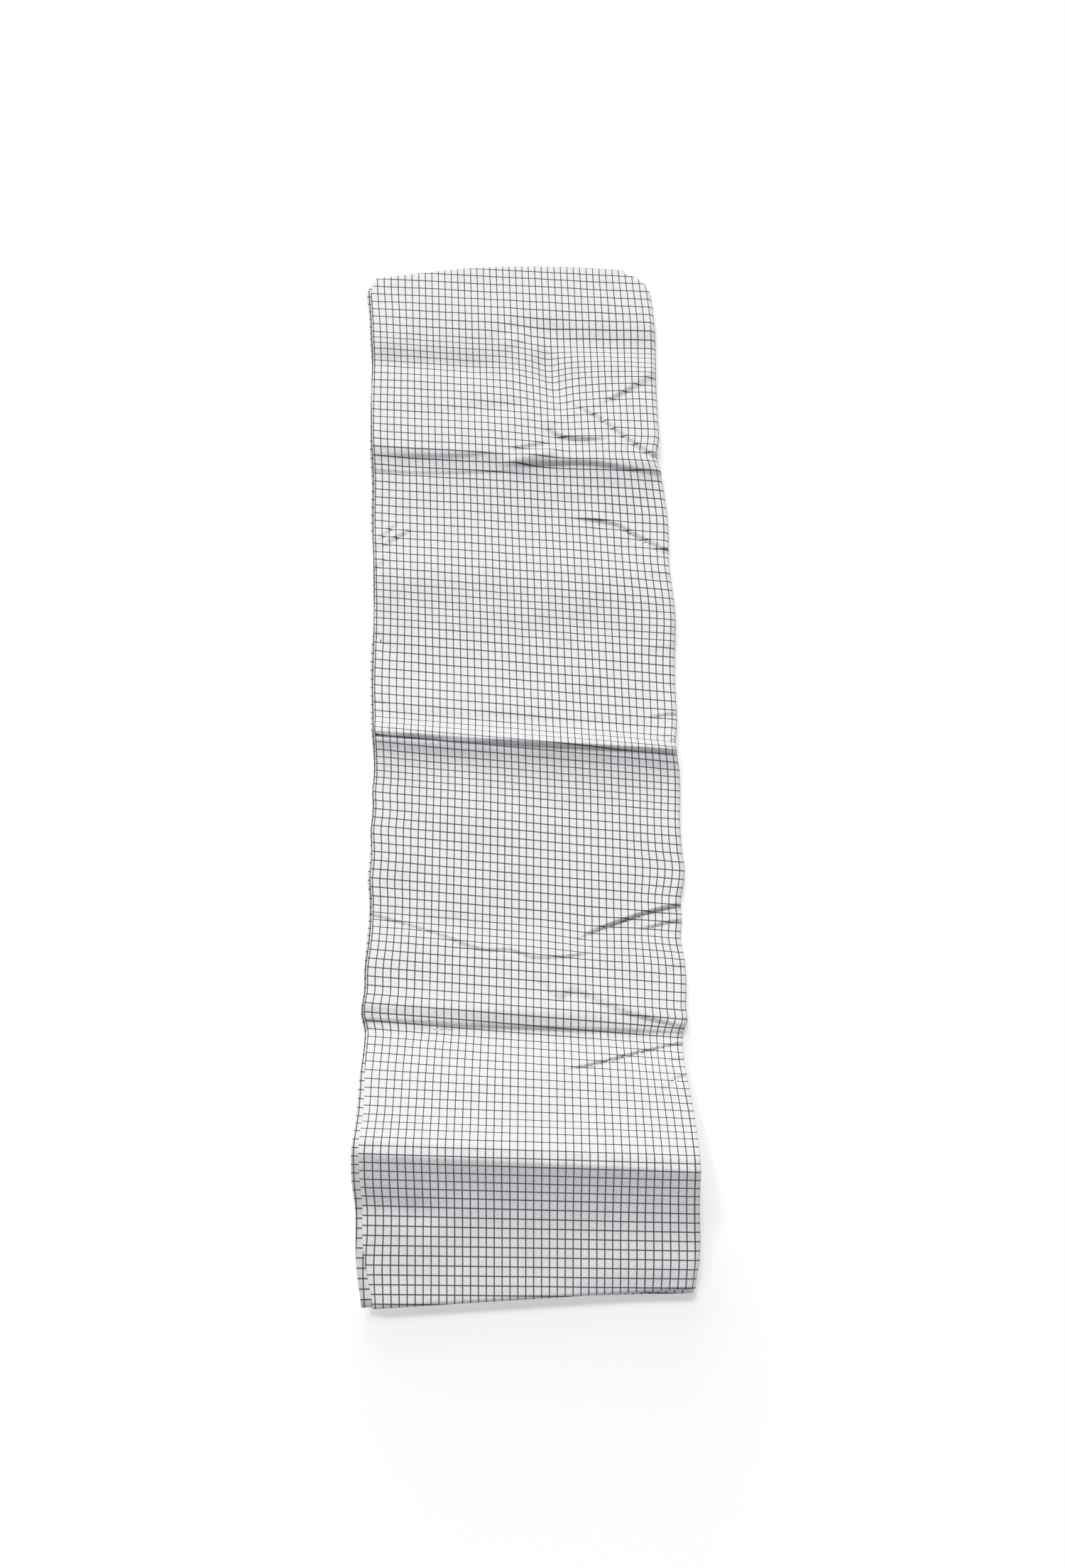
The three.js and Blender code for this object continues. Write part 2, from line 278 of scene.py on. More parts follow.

# %% [markdown]
# ## Creases
#
# The profile gives the big folds. The small ones were pressed in by the packet or pulled in by
# the first shake, and each has its own place, so each is listed as a short path across
# the strip. A *tuck* is a step: the cloth dips before the line and stands up behind it, as a
# crease does where it nearly folds over. A *trough* and a *ridge* are soft. `ends` says how
# much of a crease is left where it starts and stops: 1 where it runs out over the edge, 0 where
# it fades in the cloth.

# %% Crease table
# kind, height, width, (share left at either end), points of (across, along)
CREASES = [
    # near panel: where the steep face of the tallest crease lands
    ("trough", 5.0, 12, (1, 0), [(-150, 78), (-60, 72)]),
    # valley crease behind the tallest crease: a double line on the left
    ("trough", 3.4, 7, (1, 0.8), [(-150, 225), (20, 227), (146, 229)]),
    ("tuck", 3.6, 3, (1, 0.6), [(-148, 236), (20, 235), (146, 235)]),
    ("tuck", 2.4, 4, (1, 0), [(-152, 229), (-117, 229), (-40, 231)]),
    ("ridge", 3.4, 10, (1, 0.2), [(-150, 250), (20, 247), (100, 246)]),
    ("ridge", 2.0, 6, (1, 0), [(-151, 218), (-90, 214), (-33, 213)]),
    ("tuck", 5.0, 4.5, (0, 1), [(17, 193), (65, 205), (94, 214), (147, 228)]),
    ("trough", 2.0, 3, (0, 0), [(37, 205), (40, 185)]),
    ("tuck", 2.6, 3, (0, 1), [(121, 207), (146, 215)]),
    ("tuck", 2.6, 3, (0, 1), [(124, 191), (146, 200)]),
    ("tuck", 2.0, 3, (0, 1), [(117, 182), (130, 193)]),
    # swell beyond it
    ("tuck", 4.6, 5.5, (0, 0.6), [(-10, 288), (14, 277), (28, 263), (45, 268), (88, 251), (148, 238)]),
    ("trough", 1.4, 4, (0, 1), [(117, 285), (149, 295)]),
    # the next valley: one line from each side
    ("tuck", 2.4, 2.8, (1, 1), [(-149, 333), (-85, 317), (-45, 304), (-15, 304), (4, 298), (28, 299),
     (48, 302)]),
    ("trough", 1.4, 9, (0, 0), [(-129, 330), (12, 314)]),
    ("trough", 1.4, 3, (0, 0), [(-61, 308), (-54, 293)]),
    ("tuck", 4.6, 4.5, (0, 1), [(38, 308), (60, 324), (109, 344), (149, 355)]),
    ("tuck", 2.6, 3.5, (0, 1), [(100, 327), (147, 341)]),
    ("ridge", 1.6, 4, (0, 1), [(137, 364), (149, 373)]),
    # middle packing crease
    ("ridge", 3.0, 5, (1, 1), [(-149, 507), (20, 504), (145, 505)]),
    ("tuck", 6.0, 3.6, (1, 1), [(-149, 501), (-20, 499), (147, 499)]),
    ("trough", 2.2, 7, (0.6, 0.6), [(-139, 521), (128, 524)]),
    ("trough", 1.4, 3, (1, 0), [(-150, 533), (-129, 532)]),
    ("tuck", 2.6, 3, (0, 1), [(116, 534), (149, 541)]),
    ("tuck", 2.6, 3, (0, 1), [(130, 519), (145, 503)]),
    ("ridge", 0.8, 5, (0, 0), [(47, 557), (64, 572), (82, 578)]),
    # broad swell and valley
    ("trough", 2.0, 3, (1, 0), [(-149, 608), (-121, 580)]),
    ("trough", 1.8, 18, (0.4, 0), [(-142, 641), (46, 656)]),
    ("ridge", 1.0, 4, (0, 1), [(110, 606), (149, 614)]),
    ("tuck", 2.8, 3, (1, 0), [(-146, 696), (-118, 728)]),
    ("tuck", 2.8, 3, (1, 0), [(-143, 692), (-104, 720)]),
    ("tuck", 2.2, 3, (1, 0), [(-147, 669), (-130, 684)]),
    ("tuck", 3.4, 4, (0, 1), [(47, 740), (92, 738), (117, 726), (148, 710)]),
    ("tuck", 1.2, 5, (0, 0), [(30, 766), (71, 762)]),
    ("tuck", 1.8, 3, (0, 1), [(128, 717), (149, 705)]),
    ("tuck", 1.8, 3, (0, 1), [(120, 682), (152, 685)]),
    # third packing crease
    ("tuck", 2.0, 9, (0.15, 0), [(-149, 793), (-56, 797), (-11, 806)]),
    ("tuck", 1.4, 3, (1, 0.3), [(-150, 778), (-92, 779), (8, 786)]),
    ("tuck", 3.8, 7, (0, 0.5), [(-25, 788), (28, 795), (75, 798), (147, 792)]),
    ("ridge", 3.4, 6, (0, 0), [(-23, 790), (4, 797), (55, 814)]),
    ("tuck", 2.4, 6, (0, 0), [(-13, 806), (38, 819)]),
    # the star of short creases behind it
    ("tuck", 3.8, 5, (0, 0), [(24, 842), (40, 828), (57, 824), (97, 826)]),
    ("tuck", 3.6, 4, (0.3, 1), [(60, 863), (85, 850), (108, 831), (143, 806)]),
    ("tuck", 2.8, 7, (0.3, 1), [(85, 864), (146, 902)]),
    ("ridge", 1.6, 5, (0, 0), [(24, 836), (63, 857)]),
    # far panel
    ("trough", 5.0, 12, (0.3, 0), [(48, 850), (33, 915), (24, 935)]),
    ("trough", 4.5, 14, (0, 0.8), [(-30, 934), (20, 941), (82, 931), (149, 931)]),
    ("trough", 4.5, 14, (0.8, 0), [(-148, 908), (-26, 901), (5, 894)]),
    ("trough", 2.0, 10, (0.5, 0), [(-140, 842), (-60, 846), (30, 850)]),
    ("ridge", 2.2, 7, (0, 0), [(-20, 924), (21, 938)]),
    ("trough", 1.6, 8, (0, 0), [(-54, 854), (25, 860)]),
]
print(len(CREASES), "creases laid by hand")

# %% [markdown]
# A crease with more than two points bends smoothly through them. How a point of the cloth lies
# to a crease is then two numbers: how far it is from the line, before or behind it, and how far
# along the line it is.

# %% Crease paths
CURVE_STEPS = 5         # straight steps for each stretch of a crease's curve


def curved(path):
    """The same path as a smooth curve through its points."""
    points = [Vector(point) for point in path]
    if len(points) == 2:
        return path
    befores = [points[0]] + points[:-2]
    afters = points[2:] + [points[-1]]
    rounded = []
    for before, here, there, after in zip(befores, points, points[1:], afters):
        for step in range(CURVE_STEPS):
            t = step / CURVE_STEPS
            leaving = (1 - t) * (2 * here - before - there)
            arriving = t * (2 * there - here - after)
            rounded.append(here + t * (there - here) + t * (1 - t) / 2 * (leaving + arriving))
    return rounded + [points[-1]]


def along_path(x, s, path):
    """Signed distance of points from a path, positive beyond it, and how far along it they are."""
    path = np.array(curved(path), float)
    steps = np.diff(path, axis=0)
    lengths = np.linalg.norm(steps, axis=1)
    starts = np.concatenate([[0], np.cumsum(lengths)])
    best = np.full(x.shape, np.inf)
    side = np.ones(x.shape)
    share = np.zeros(x.shape)
    for corner, step, length, start in zip(path, steps, lengths, starts):
        dx, ds = x - corner[0], s - corner[1]
        t = np.clip((dx * step[0] + ds * step[1]) / length ** 2, 0, 1)
        distance = np.hypot(dx - t * step[0], ds - t * step[1])
        nearer = distance < best
        best = np.where(nearer, distance, best)
        side = np.where(nearer, np.sign(step[0] * ds - step[1] * dx), side)
        share = np.where(nearer, (start + t * length) / starts[-1], share)
    return best * side, share


longest = max(CREASES, key=lambda crease: len(crease[4]))[4]
print("the crease with most turns:", len(longest), "points, curved into", len(curved(longest)))

# %% [markdown]
# The section of a ridge or a trough is a bell. A tuck's is a dip, a steep step up, and a bank
# that falls away slowly behind. The plies can be pressed only so thin, so no dip cuts deeper
# than that. Some unevenness, in two sizes, keeps the plain stretches from looking like metal.

# %% Crease heights
TUCK_DIP = 0.6          # how deep a tuck dips and how far it rises, as shares of its height
TUCK_RISE = 0.7
TUCK_BEFORE = 1.2       # how long the dip, the step and the bank are, in widths
TUCK_STEP = 0.4
TUCK_BEHIND = 2.2
FADE_SHARE = 0.35       # share of a crease's length over which an end fades
CALM_END = 25.0         # length in which small folds fade towards the hem and the far fold
LEAST_STACK = 4.6       # the plies can't be pressed thinner than this

# height, size, how much of the width counts, seed
UNEVEN = [(2.2, 48, 0.55, 1.5), (0.6, 20, 1, 7.5)]


def crease_shape(kind, d, width):
    """Height of a crease's section at a signed distance from its line, between -1 and 1."""
    bell = np.exp(-(d / width) ** 2)
    if kind == "ridge":
        return bell
    if kind == "trough":
        return -bell
    behind = np.exp(-np.maximum(d, 0) / (TUCK_BEHIND * width))
    before = np.exp(-(np.minimum(d, 0) / (TUCK_BEFORE * width)) ** 2)
    step = smooth(d / (TUCK_STEP * width) + 0.5)
    return mix(-TUCK_DIP * before, TUCK_RISE * behind, step)


def small_folds(x, s):
    """Height that the creases add to the profile, in millimetres."""
    total = np.zeros(x.shape)
    for kind, height, width, ends, path in CREASES:
        d, share = along_path(x, s, path)
        start_fade = mix(ends[0], 1, smooth(share / FADE_SHARE))
        stop_fade = mix(ends[1], 1, smooth((1 - share) / FADE_SHARE))
        total += height * (start_fade * stop_fade) * crease_shape(kind, d, width)
    return total


def soft_noise(x, s, size, seed):
    flat = [noise.noise(Vector((a / size, b / size, seed)))
            for a, b in zip(x.ravel(), s.ravel())]
    return np.array(flat).reshape(x.shape)


def cloth_top(x, s, risen=1.0):
    """Height of the top cloth everywhere: profile, creases and a little unevenness.
    risen is the share of what stands up that the ply follows; it follows all that dips."""
    inside = smooth(s / CALM_END) * smooth((STRIP_LENGTH - s) / CALM_END)
    uneven = sum(height * soft_noise(x * share, s, size, seed)
                 for height, size, share, seed in UNEVEN)
    folds = small_folds(x, s)
    folds = np.maximum(folds, 0) * risen + np.minimum(folds, 0)
    top = top_height(s) + (folds + uneven) * inside
    return np.maximum(top, under_height(s) + LEAST_STACK)


middle = cloth_top(np.zeros(9), np.linspace(0, STRIP_LENGTH, 9))
print("heights down the middle:", middle.round(1), "mm")

# %% [markdown] ## The weave The cloth is plain-woven off-white cotton. Every so many yarns one
# or two dark ones run in each direction and draw the checks, which are a little longer than
# they are wide. The pattern follows the cloth, so each piece carries a UV map counted in
# checks: a whole number is a dark line. Along the strip the lines are counted off at a few
# places from the hem, and a slope that climbs takes up more of them to the centimetre than the
# flat does, as real checks bunch on it. Across it they are even, but wander with the sides. A
# few creases pull the weave askew, and those pulls are listed one by one.

# %% Counting checks
CHECK_ACROSS = 6.75     # millimetres of cloth from one dark line to the next
CHECK_ALONG = 8.46
LAST_LINE = 141.0       # the outermost lengthwise line, just before the rolled fold
WANDER_DEPTH = 60.0     # how far in from a side the weave still follows it
LEAN_PASSES = 6         # enough to find where a leaning line started

# (distance from the hem, crosswise lines passed): the lines bunch where the cloth is gathered
ROWS = np.array([
    (0, 0.2), (86, 11), (141, 19), (152, 21), (236, 33), (301, 41), (334, 46), (449, 60),
    (495, 67), (520, 71), (611, 81), (661, 88), (758, 99), (827, 107), (898, 115), (934, 121),
    (1011, 129)])

# where the creases pull the weave askew: (across, along, half width, half length, how far the
# crosswise lines are drawn towards the hem)
WEAVE_PULLS = [(36, 880, 34, 55, 7.0), (150, 860, 60, 70, -6.0), (60, 320, 30, 24, 2.5)]


def checks_along(x, s):
    """How many checks from the hem a point of the flat plies lies, along the weave."""
    y = reach_along(x, s)
    woven = y.copy()
    for _ in range(LEAN_PASSES):
        woven = y - lean_of(WEAVE_LEAN, np.clip(woven, 0, STRIP_LENGTH)) * x
    for at_x, at_s, half_x, half_s, drawn in WEAVE_PULLS:
        woven += drawn * np.exp(-((x - at_x) / half_x) ** 2 - ((s - at_s) / half_s) ** 2)
    beyond = woven - np.clip(woven, ROWS[0, 0], ROWS[-1, 0])
    return np.interp(woven, ROWS[:, 0], ROWS[:, 1]) + beyond / CHECK_ALONG


def checks_across(x, s):
    """How many checks from the last lengthwise line: the lines wander with the sides."""
    right = (right_side(s) - right_end(s)) * smooth((x - RIGHT) / WANDER_DEPTH + 1)
    left = (left_side(s) - left_end(s)) * smooth((LEFT - x) / WANDER_DEPTH + 1)
    return (x - right - left - LAST_LINE) / CHECK_ACROSS


print(f"{ROWS[-1, 1]:.0f} checks, {ROWS[-1, 1] * CHECK_ALONG:.0f} mm of cloth from hem to far fold")

# %% [markdown]
# The finish is a set of small sums on those UVs, so it needs no picture and stays sharp at any
# distance. Writing each sum as a node takes several lines, so a short hand comes first.

# %% Node short hand
class Nodes:
    """Short hand for building a node tree."""

    def __init__(self, tree):
        self.tree = tree

    def put(self, socket, value):
        if isinstance(value, bpy.types.NodeSocket):
            self.tree.links.new(value, socket)
        else:
            socket.default_value = value

    def add(self, kind, inputs=(), **settings):
        node = self.tree.nodes.new(kind)
        for name, value in settings.items():
            setattr(node, name, value)
        for socket, value in dict(inputs).items():
            self.put(node.inputs[socket], value)
        return node

    def math(self, operation, a, b=0.0):
        return self.add("ShaderNodeMath", {0: a, 1: b}, operation=operation).outputs[0]

    def ramp(self, value, low, high, to_low=0.0, to_high=1.0):
        node = self.add("ShaderNodeMapRange", {
            "Value": value, "From Min": low, "From Max": high,
            "To Min": to_low, "To Max": to_high}, interpolation_type="SMOOTHSTEP")
        return node.outputs["Result"]

    def blend(self, factor, a, b, mode="MIX"):
        node = self.add("ShaderNodeMix", data_type="RGBA", blend_type=mode)
        self.put(node.inputs[0], factor)
        self.put(node.inputs[6], a)
        self.put(node.inputs[7], b)
        return node.outputs[2]


print("short hand for", ", ".join(name for name in vars(Nodes) if not name.startswith("_")))

# %% [markdown]
# The yarns are measured in checks, as the UVs are. The dark lines are a little wider lengthwise
# than crosswise, and never quite black. The white is cool where it is seen. On the plies beneath
# it is painted darker and a little warmer, as painted shade, and the rolled fold is painted a
# little creamier than the rest, as a painted glow of light in the fold.

# %% Yarns and colours
LINE_HALF_ACROSS = 0.080        # half a dark line's width
LINE_HALF_ALONG = 0.068
LINE_BLUR = 0.032
LINE_DARKNESS = (0.76, 0.95)    # of a dark line where it is broken, and where it isn't
BREAKS = 26.0                   # how many breaks a dark line may have in a check
BREAK_NOISE = (0.35, 0.6)       # the noise at which it is broken, and at which it isn't
YARNS_ACROSS = 18               # yarns to a check
YARNS_ALONG = 22
SLUB_FINE = 9.0                 # streaks of thick and thin yarn to a check, sideways
SLUB_LONG = 0.35                # and lengthwise
SLUB_NOISE = (0.8, 1.2)         # the noise of the thinnest and the thickest yarns
SLUB_SHADE = (0.955, 1.02)      # and how bright they are
SLUB_BUMP = 2.0                 # how much they stand out, next to the weave itself
# painted glow: from here on the rolled fold is tinted cream
CREAM_FROM_TO = (-0.2, 0.9)     # checks past the last line, where the cream sets in
WEAVE_BUMP = 0.35
WEAVE_DEPTH = 0.00006           # metres
ROUGHNESS = 0.62
GLOSS = 0.15
FUZZ = 0.08
FUZZ_ROUGHNESS = 0.45

CHARCOAL = (0.030, 0.025, 0.033, 1)
OFF_WHITE = (0.865, 0.86, 0.878, 1)
# painted shade: the plies beneath get a darker, warmer copy of the white
PAINTED_SHADE_WHITE = (0.80, 0.785, 0.79, 1)
# painted glow: the warm tint of light in the rolled fold
PAINTED_GLOW_CREAM = (0.80, 0.735, 0.665, 1)
print(f"dark lines {2 * LINE_HALF_ACROSS * CHECK_ACROSS:.1f} mm wide")

# %% [markdown]
# `PINGPONG` turns the count of checks into the distance from the nearest dark line, and a smooth
# step turns that into yarn. Where two lines cross, both yarns are dark, so the crossing is
# darkest; between crossings a dark yarn passes over and under white ones, so the line is broken
# finely and greyer. Faint streaks of thicker and thinner yarn run both ways through the white.
# A fine bump stands for the weave, and a trace of sheen for the fuzz of the cotton.

# %% Cloth material
def cloth_material(name, white, cream_share):
    """Checked cotton. cream_share is how strongly the rolled fold is tinted cream, as a painted glow
    of light in the fold.
    """
    material = bpy.data.materials.new(name)
    material.use_nodes = True
    tree = material.node_tree
    tree.nodes.clear()
    n = Nodes(tree)
    uv = n.add("ShaderNodeUVMap", uv_map="weave").outputs["UV"]
    split = n.add("ShaderNodeSeparateXYZ", {"Vector": uv})
    across, along = split.outputs["X"], split.outputs["Y"]

    def streaks(scale_across, scale_along, detail):
        stretch = {0: uv, 1: (scale_across, scale_along, 1)}
        stretched = n.add("ShaderNodeVectorMath", stretch, operation="MULTIPLY").outputs[0]
        return n.add("ShaderNodeTexNoise", {
            "Vector": stretched, "Scale": 1.0, "Detail": detail}).outputs["Fac"]

    warp_slub = streaks(SLUB_FINE, SLUB_LONG, 2.0)
    weft_slub = streaks(SLUB_LONG, SLUB_FINE, 2.0)
    yarn_break = streaks(BREAKS, BREAKS, 1.0)

    def line(count, half):
        distance = n.math("PINGPONG", count, 0.5)
        return n.ramp(distance, half - LINE_BLUR, half + LINE_BLUR, 1.0, 0.0)

    warp = line(across, LINE_HALF_ACROSS)
    weft = line(along, LINE_HALF_ALONG)
    broken = n.ramp(yarn_break, *BREAK_NOISE, *LINE_DARKNESS)
    both = n.math("MULTIPLY", warp, weft)
    either = n.math("MAXIMUM", warp, weft)
    dark = n.math("MAXIMUM", n.math("MULTIPLY", either, broken), both)

    slub = n.math("ADD", warp_slub, weft_slub)
    shade = n.ramp(slub, *SLUB_NOISE, *SLUB_SHADE)
    # painted glow: the rolled fold is blended towards cream
    glow_mask = n.ramp(across, *CREAM_FROM_TO, 0.0, cream_share)
    ground = n.blend(glow_mask, white, PAINTED_GLOW_CREAM)
    ground = n.blend(1.0, ground, shade, "MULTIPLY")
    colour = n.blend(dark, ground, CHARCOAL)

    warp_wave = n.math("SINE", n.math("MULTIPLY", across, math.pi * YARNS_ACROSS))
    weft_wave = n.math("SINE", n.math("MULTIPLY", along, math.pi * YARNS_ALONG))
    plain_weave = n.math("MULTIPLY", warp_wave, weft_wave)
    weave = n.math("ADD", plain_weave, n.math("MULTIPLY", slub, SLUB_BUMP))
    bump = n.add("ShaderNodeBump", {
        "Height": weave, "Strength": WEAVE_BUMP, "Distance": WEAVE_DEPTH})

    principled = n.add("ShaderNodeBsdfPrincipled", {
        "Base Color": colour, "Roughness": ROUGHNESS, "Normal": bump.outputs["Normal"],
        "Sheen Weight": FUZZ, "Sheen Roughness": FUZZ_ROUGHNESS, "Specular IOR Level": GLOSS})
    n.add("ShaderNodeOutputMaterial", {"Surface": principled.outputs[0]})
    return material


face_cloth = cloth_material("checked_cotton_face", OFF_WHITE, cream_share=0.55)
# the plies beneath get the darker white, as painted shade
shaded_under_cloth = cloth_material("checked_cotton_under_shaded", PAINTED_SHADE_WHITE, cream_share=0.5)
print("materials:", face_cloth.name, shaded_under_cloth.name)

# %% [markdown]
# ## Making a ply
#
# A ply is a flat grid of squares, made by one bmesh operator, whose points are then carried to
# where the folded cloth has them. One helper does that for every ply: it is handed a function
# from shares of the flat cloth's width and length to a point in space and a count of checks. A
# Solidify modifier gives the grid its thickness and closes its edges. A cloth simulation could
# fold it too, but it wouldn't put these creases where they are.

# %% Ply helper
CLOTH_THICK = 0.45


def make_ply(name, cells_across, cells_along, carry, material):
    """A grid whose points are carried by carry(u, v) -> (points in metres, checks)."""
    mesh = bpy.data.meshes.new(name)
    bm = bmesh.new()
    bmesh.ops.create_grid(bm, x_segments=cells_across, y_segments=cells_along, size=0.5)
    flat = np.array([vertex.co[:2] for vertex in bm.verts]) + 0.5
    points, checks = carry(flat[:, 0], flat[:, 1])
    for vertex, point in zip(bm.verts, points):
        vertex.co = point
    weave = bm.loops.layers.uv.new("weave")
    for face in bm.faces:
        face.smooth = True
        for loop in face.loops:
            loop[weave].uv = checks[loop.vert.index]
    bm.to_mesh(mesh)
    bm.free()
    mesh.materials.append(material)
    piece = bpy.data.objects.new(name, mesh)
    bpy.context.scene.collection.objects.link(piece)
    wall = piece.modifiers.new("cloth thickness", "SOLIDIFY")
    wall.thickness = CLOTH_THICK * MM
    wall.offset = -1.0
    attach(piece, "root")
    print(f"{name}: {len(mesh.polygons)} squares")
    return piece


print("cloth", CLOTH_THICK, "mm thick")

# %% [markdown]
# Sharp creases need small squares and flat cloth doesn't, so the rows of a grid are shared out
# unevenly along the strip: they crowd where it is full of creases.

# %% Sharing out the rows
# stretches of the strip, in millimetres from the hem, that are full of small creases
CREASED = [(114, 138), (178, 246), (293, 352), (482, 550), (704, 742), (772, 886)]
CROWDING = 3.0          # how many times closer the rows lie there
CROWDING_EASE = 12.0    # length over which they draw together
FINE_STEPS = 4 * int(STRIP_LENGTH)

fine_s = np.linspace(0, STRIP_LENGTH, FINE_STEPS + 1)
crowding = 1.0
for start, end in CREASED:
    drawn = smooth((fine_s - start) / CROWDING_EASE + 0.5)
    crowding = crowding + (CROWDING - 1) * drawn * smooth((end - fine_s) / CROWDING_EASE + 0.5)
rows_passed = np.concatenate([[0], np.cumsum(crowding[1:])])
rows_passed /= rows_passed[-1]


def share_out(v):
    """Distance from the hem for a share of the grid's rows, crowded where creases are."""
    return np.interp(v, rows_passed, fine_s)


def round_fold(middle, half, reach, turn):
    """A point of a rolled fold: how far out, and how high, after turning by that angle."""
    return reach * np.sin(turn), middle + half * np.cos(turn)


def edge_wander(s, waves):
    """How a free edge wanders: waves of (height, length, start)."""
    return sum(height * np.sin(s / length + start) for height, length, start in waves)


print("half the rows lie before", round(float(share_out(0.5))), "mm")

# %% [markdown]
# ## The outer cloth
#
# The outermost ply is the one that is seen. It lies over the whole top and turns down over the
# rolled fold on the right and over the far fold. Each fold gets a fixed share of the grid and
# the flat gets the rest, and the corner between the two folds turns both ways at once, like the
# corner of a folded sheet. One grid for all three has no seam where the folds begin.

# %% Top cloth
TOP_CELLS = (100, 470)
ROLL_SHARE = 10 / TOP_CELLS[0]     # share of the grid that makes the rolled fold
FAR_SHARE = 9 / TOP_CELLS[1]       # and the far fold
FOLD_TURN = math.radians(178)      # just short of folding flat back
FOLD_REACH = ROLL_REACH - 0.3      # the cloth's own reach, a little less than the whole roll's
HEM_BACK = 3.5                     # how far the cut edge lies back from the strip's end
TOP_WAVES = [(0.5, 37.0, 0.0), (0.35, 13.0, 1.0)]


def top_edge(s):
    """The free edge of the top ply, which steps in by the ledge."""
    return left_side(s) + ledge(s) + edge_wander(s, TOP_WAVES)


def carry_top(u, v):
    flat_u = np.clip(u / (1 - ROLL_SHARE), 0, 1)
    flat_v = np.clip(v / (1 - FAR_SHARE), 0, 1)
    side = np.clip((u - 1 + ROLL_SHARE) / ROLL_SHARE, 0, 1)
    end = np.clip((v - 1 + FAR_SHARE) / FAR_SHARE, 0, 1)
    s = HEM_BACK + share_out(flat_v) * (1 - HEM_BACK / STRIP_LENGTH)
    x = mix(top_edge(s), right_side(s), flat_u)
    top = cloth_top(x, s)
    under = under_height(s)
    turn = np.maximum(side, end) * FOLD_TURN
    half = (top - under - CLOTH_THICK) / 2
    out, z = round_fold((top + under + CLOTH_THICK) / 2, half, FOLD_REACH, turn)
    facing = np.arctan2(end, side)
    points = place(x, s, z)
    points[:, 0] += out * np.cos(facing) * MM
    points[:, 1] += out * np.sin(facing) * MM
    girth = math.pi * np.sqrt((half ** 2 + ROLL_REACH ** 2) / 2)
    checks = np.stack([
        checks_across(x, s) + side * girth / CHECK_ACROSS,
        checks_along(x, s) + end * girth / CHECK_ALONG], -1)
    return points, checks


top_cloth = make_ply("top_cloth", *TOP_CELLS, carry_top, face_cloth)
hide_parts("top_panel", "side_fold", "end_fold")

# %% [markdown]
# The lower half of the same outer cloth lies flat on the table, and lifts off it only under the
# tallest crease. It reaches just past where the rolled fold comes down to it, so no gap shows
# between the two. No hem of an under ply lies quite square to the one above it. It is a piece of
# its own because, hardly seen, it can make do with a much coarser grid.

# %% Bottom cloth
BOTTOM_CELLS = (40, 220)
LIP = 1.2                  # how far it reaches under the rolled fold
BOTTOM_EDGE = 1.0          # and how far its free edge lies in from the side
BOTTOM_HEM = (3.0, 8.0)    # how far its hem lies back at the right and at the left


def hem_at_slant(s, u, right, left):
    """The hem of an under ply lies back by these two amounts, at its right and left ends."""
    back = mix(left, right, u)
    return back + s * (1 - back / STRIP_LENGTH)


def carry_bottom(u, v):
    s = hem_at_slant(share_out(v), u, *BOTTOM_HEM)
    x = mix(left_side(s) + BOTTOM_EDGE, right_side(s) + LIP, u)
    z = under_height(s) + CLOTH_THICK
    checks = np.stack([checks_across(2 * RIGHT - x, s), checks_along(x, s)], -1)
    return place(x, s, z), checks


bottom_cloth = make_ply("bottom_cloth", *BOTTOM_CELLS, carry_bottom, shaded_under_cloth)
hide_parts("bottom_panel")

# %% [markdown]
# ## The plies within
#
# Three more folded cloths are nested inside the outer one, each with an upper and a lower ply
# and its own roll on the right. They share out the height between the top and the bottom, so
# where the strip is pressed flat they lie close, and where it swells they part. Their free
# edges are what shows along the left side and at the hems, and no two end in quite the same
# place. Each is one grid that runs round its roll, rather than two flat ones, so nothing has to
# be joined.

# %% Inner plies
INNER_CELLS = (46, 260)
INNER_ROLL = 0.14          # share of the grid that makes a roll
INNER_SHORT = 2.0          # how much shorter they are than the strip
INNER_HEM = (2.5, 6.0)     # how far their hems lie back at the right and at the left
INNER_FOLLOWS = 0.3        # share of a small ridge that still shows in the plies below
PLY_GAPS = 7               # gaps between the eight plies of the strip
ROLLS = 4                  # rolls nested in one another on the right
PLY_SHIFT = (0.37, 0.3)    # checks by which each ply's pattern lies off the last one's
HEM_CALM = 40.0            # length in which an uneven hem becomes even
HEM_CURVE = 1.5            # how sharply a hem that juts out does so towards its ends

# name, how many plies in from the outside, how far its left edges lie in (upper, lower), and
# how far its hems jut out (upper, lower)
INNER = [
    ("second_cloth", 1, (0.0, 1.6), (3.0, -2.0)),
    ("third_cloth", 2, (1.8, 0.8), (-1.5, -3.0)),
    ("inner_cloth", 3, (0.9, 2.2), (-3.0, -1.0)),
]


